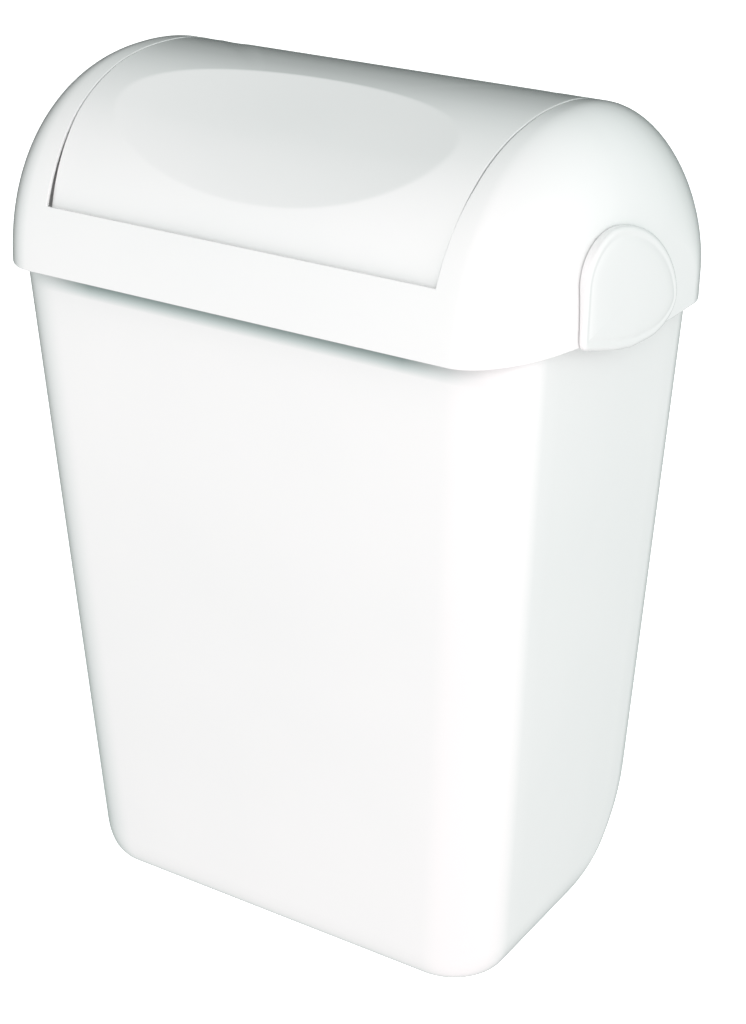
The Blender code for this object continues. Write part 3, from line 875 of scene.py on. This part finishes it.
def quarter(centre, radii, first, power=2.0):
    """Quarter of a superellipse, clockwise from an angle in degrees."""
    points = []
    for degrees in spread(first, first - 90.0, 24):
        c, s = math.cos(math.radians(degrees)), math.sin(math.radians(degrees))
        y = centre[0] + radii[0] * math.copysign(abs(c) ** (2.0 / power), c)
        z = centre[1] + radii[1] * math.copysign(abs(s) ** (2.0 / power), s)
        points.append(Vector((y, z)))
    return points


def lobe_outline():
    """The lever's outline as evenly spaced points, with its corners softened."""
    front, top, rear, low = LOBE
    along, above, below = LOBE_ROUND
    points = quarter((front + along, top - above), (along, above), 180.0)
    points += quarter((front + along, low + below), (rear - front - along, top - low - below),
                      90.0, LOBE_POWER)[1:]
    points += quarter((rear - along, low + below), (along, below), 0.0)[1:]
    points += [Vector((front + y, low + z)) for y, z in LOBE_CHIN]
    points = even(points, 200)
    for _ in range(4):
        points = [(a + b * 2.0 + c) / 4.0
                  for a, b, c in zip(points[-1:] + points[:-1], points, points[1:] + points[:1])]
    return points


def even(points, count):
    """Evenly spaced points along a closed outline."""
    run = [0.0]
    closed = points + points[:1]
    for a, b in zip(closed, closed[1:]):
        run.append(run[-1] + (b - a).length)
    out = []
    j = 0
    for i in range(count):
        place = run[-1] * i / count
        while run[j + 1] < place:
            j += 1
        t = (place - run[j]) / max(run[j + 1] - run[j], 1e-9)
        out.append(closed[j].lerp(closed[j + 1], t))
    return out


def shrink(points, amount):
    """Move a closed outline inwards along its own normals."""
    out = []
    centre = sum(points, Vector((0.0, 0.0))) / len(points)
    for a, b, c in zip(points[-1:] + points[:-1], points, points[1:] + points[:1]):
        along = (c - a).normalized()
        normal = Vector((along.y, -along.x))
        if normal.dot(centre - b) < 0.0:
            normal = -normal
        out.append(b + normal * amount)
    return out


def lobe_solid():
    """Wall, round shoulder, faint channel and crowned face of the lever, lofted outwards."""
    outline = lobe_outline()
    shoulder = LATCH_OUT - 2.6
    layers = [(x, outline) for x in (HOOD_HALF - 6.0, HOOD_HALF - 2.0, shoulder)]
    for turn in spread(0.0, math.pi / 2.0, 8)[1:]:
        layers.append((shoulder + 1.9 * math.sin(turn), shrink(outline, 3.2 * (1.0 - math.cos(turn)))))
    for inset, drop in ((4.4, 0.72), (5.4, 0.82), (6.2, 0.80), (7.2, 0.66)):
        last = shrink(outline, inset)
        layers.append((LATCH_OUT - drop, last))
    centre = sum(last, Vector((0.0, 0.0))) / len(last)
    for scale, drop in ((0.97, 0.5), (0.93, 0.36), (0.85, 0.22), (0.7, 0.1), (0.5, 0.03), (0.25, 0.0)):
        layers.append((LATCH_OUT - drop, [centre + (p - centre) * scale for p in last]))
    made = bmesh.new()
    rows = [[made.verts.new((x, p.x, p.y)) for p in points] for x, points in layers]
    add_rows(made, rows, close=True)
    made.faces.new(rows[0])
    fan(made, rows[-1], made.verts.new((LATCH_OUT, centre.x, centre.y)))
    return made


def dome_cutter():
    """The hood's outer skin moved out by the running gap, as a solid."""
    rings = []
    for x in [0.0, END_START] + end_columns():
        front, back, crown = dome_limits(x, -LATCH_GAP)
        out = x + LATCH_GAP
        ring = [dome_point(out, angle, front, back, crown) for angle in spread(0.0, math.pi, 64)]
        rings.append(ring + [(out, back, 430.0), (out, front, 430.0)])
    return loft(rings)


def pin_rod(ys, radius):
    """Round bar along the latch pin's axis."""
    return prism_y(circle((LATCH_PIN_X, LATCH_PIN_Z), radius, 40), ys)


def make_latch(looks):
    """Side lever: lobe outside the hood, tongue through its wall, boss on the pin."""
    lever = finish_mesh("latch_lever", lobe_solid(), looks["latch"], sharp=50)
    cut(lever, dome_cutter())
    low_y, high_y = LATCH_Y - 9.0, LATCH_Y + 9.0
    tongue = box((LATCH_PIN_X + 2.5, low_y, 474.0), (HOOD_HALF + 1.6, high_y, LATCH_PIN_Z + 0.5))
    tongue = finish_mesh("tongue", tongue, looks["latch"])
    soften(tongue, 0.7)
    apply_modifiers(tongue)
    boss = finish_mesh("boss", pin_rod((low_y, high_y), PIN_BOSS), looks["latch"], sharp=40)
    for part in (tongue, boss):
        cut(part, pin_rod((low_y - 3.0, high_y + 3.0), PIN_BORE))
    lever = join([lever, tongue, boss])
    sharpen(lever, 50)
    stand_in(lever, "latch", "side_latch")


# ---- carried-over nodes ------------------------------------------------------------------

def dress_nodes(looks):
    """Better materials for the CAD nodes that stay, by the start of their names."""
    by_name = {
        "wall_hole_plug": "plug", "bag_ring": "wire", "bag_clip": "clip", "pivot_bush": "bush",
        "flap_bumper": "rubber", "latch_spring": "zinc", "latch_pin": "zinc", "pivot_pin": "zinc",
        "counterweight_bar": "zinc", "bar_clip": "zinc",
    }
    for name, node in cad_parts.items():
        for start, key in by_name.items():
            if name.startswith(start):
                node.data.materials.clear()
                node.data.materials.append(looks[key])


# ---- stage, light and camera -------------------------------------------------------------

def make_floor():
    look, nodes, links, shader = new_material("pale_floor")
    coords = nodes.new("ShaderNodeTexCoord")
    mottle = noise(nodes, links, coords, 3.0)
    tint = ramp(nodes, links, mottle.outputs["Fac"], (0.93,) * 3, (0.95,) * 3, (0.3, 0.7))
    links.new(tint.outputs["Color"], shader.inputs["Base Color"])
    shader.inputs["Roughness"].default_value = 0.9
    shader.inputs["Specular IOR Level"].default_value = 0.0
    shader.inputs["Emission Color"].default_value = (1.0, 1.0, 1.0, 1.0)
    shader.inputs["Emission Strength"].default_value = 0.75
    data = bpy.data.meshes.new("floor")
    reach, z = 15.0, -0.0004
    corners = [(-reach, -reach, z), (reach, -reach, z), (reach, reach, z), (-reach, reach, z)]
    data.from_pydata(corners, [], [(0, 1, 2, 3)])
    floor = bpy.data.objects.new("floor", data)
    bpy.context.scene.collection.objects.link(floor)
    data.materials.append(look)
    floor.visible_diffuse = False
    floor.visible_glossy = False
    floor.visible_shadow = False


def toward(azimuth, elevation):
    """Direction from the object, azimuth measured from its front towards its right."""
    turn, rise = math.radians(azimuth), math.radians(elevation)
    return Vector((math.sin(turn) * math.cos(rise), -math.cos(turn) * math.cos(rise),
                   math.sin(rise)))


def make_world():
    """Soft panels round the object: bright in front and on the right, dim behind and left."""
    world = bpy.data.worlds.new("studio")
    bpy.context.scene.world = world
    world.use_nodes = True
    nodes = world.node_tree.nodes
    links = world.node_tree.links
    coords = nodes.new("ShaderNodeTexCoord")
    warm, cool = Vector((1.1, 1.0, 1.02)), Vector((0.82, 1.0, 0.96))
    panels = (
        # front wall: bright above and below, softer at eye level
        (0, 50, 1.0, warm), (0, 0, 0.35, warm), (0, -50, 1.0, warm),
        # right wall: bright at eye level and below
        (90, 50, 0.3, cool), (90, 0, 0.9, warm), (90, -50, 0.75, warm),
        # fill from the front left and the back right
        (315, 0, 0.7, cool), (135, 0, 0.7, cool),
        # back and left walls: dim, for the grey rims
        (180, 50, 0.4, cool), (180, -50, 0.35, cool), (270, 50, 0.2, cool), (270, -50, 0.4, cool),
    )
    total = None
    for azimuth, elevation, power, tint in panels:
        facing = nodes.new("ShaderNodeVectorMath")
        facing.operation = "DOT_PRODUCT"
        facing.inputs[1].default_value = toward(azimuth, elevation)
        links.new(coords.outputs["Generated"], facing.inputs[0])
        front = math_node(nodes, links, "MAXIMUM", facing.outputs["Value"], 0.0)
        soft = math_node(nodes, links, "POWER", front, 4.0)
        panel = nodes.new("ShaderNodeVectorMath")
        panel.operation = "SCALE"
        panel.inputs[0].default_value = tint * power
        links.new(soft, panel.inputs["Scale"])
        if total is not None:
            added = nodes.new("ShaderNodeVectorMath")
            links.new(total.outputs["Vector"], added.inputs[0])
            links.new(panel.outputs["Vector"], added.inputs[1])
            panel = added
        total = panel
    links.new(total.outputs["Vector"], nodes["Background"].inputs["Color"])


def soft_box(name, azimuth, elevation, size, power):
    """Square area light that looks at the middle of the object."""
    data = bpy.data.lights.new(name, "AREA")
    data.shape = "SQUARE"
    data.size = size
    data.energy = power
    lamp = bpy.data.objects.new(name, data)
    bpy.context.scene.collection.objects.link(lamp)
    away = toward(azimuth, elevation)
    lamp.location = (Vector(STUDIO_MIDDLE) + STUDIO_REACH * away) * MM
    lamp.rotation_euler = (-away).to_track_quat("-Z", "Y").to_euler()


def make_lights():
    soft_box("key", 35.0, 30.0, 0.6, 7.0)
    soft_box("side", 85.0, 12.0, 1.3, 3.0)


def make_camera():
    data = bpy.data.cameras.new("camera")
    data.sensor_width = 36.0
    data.lens = CAMERA_LENS
    camera = bpy.data.objects.new("camera", data)
    bpy.context.scene.collection.objects.link(camera)
    turn, roll = math.radians(CAMERA_TURN), math.radians(CAMERA_ROLL)
    back = toward(CAMERA_TURN, CAMERA_RISE)
    right = Vector((math.cos(turn), math.sin(turn), 0.0))
    up = back.cross(right)
    right, up = (math.cos(roll) * right + math.sin(roll) * up,
                 math.cos(roll) * up - math.sin(roll) * right)
    place = Matrix((right, up, back)).transposed().to_4x4()
    place.translation = Vector(CAMERA_PLACE) * MM
    camera.matrix_world = place
    bpy.context.scene.camera = camera
    bpy.context.scene.view_settings.view_transform = "Standard"


def main():
    looks = make_looks()
    make_body(looks)
    make_hood(looks)
    make_flap(looks)
    make_latch(looks)
    dress_nodes(looks)
    make_floor()
    make_world()
    make_lights()
    make_camera()


main()
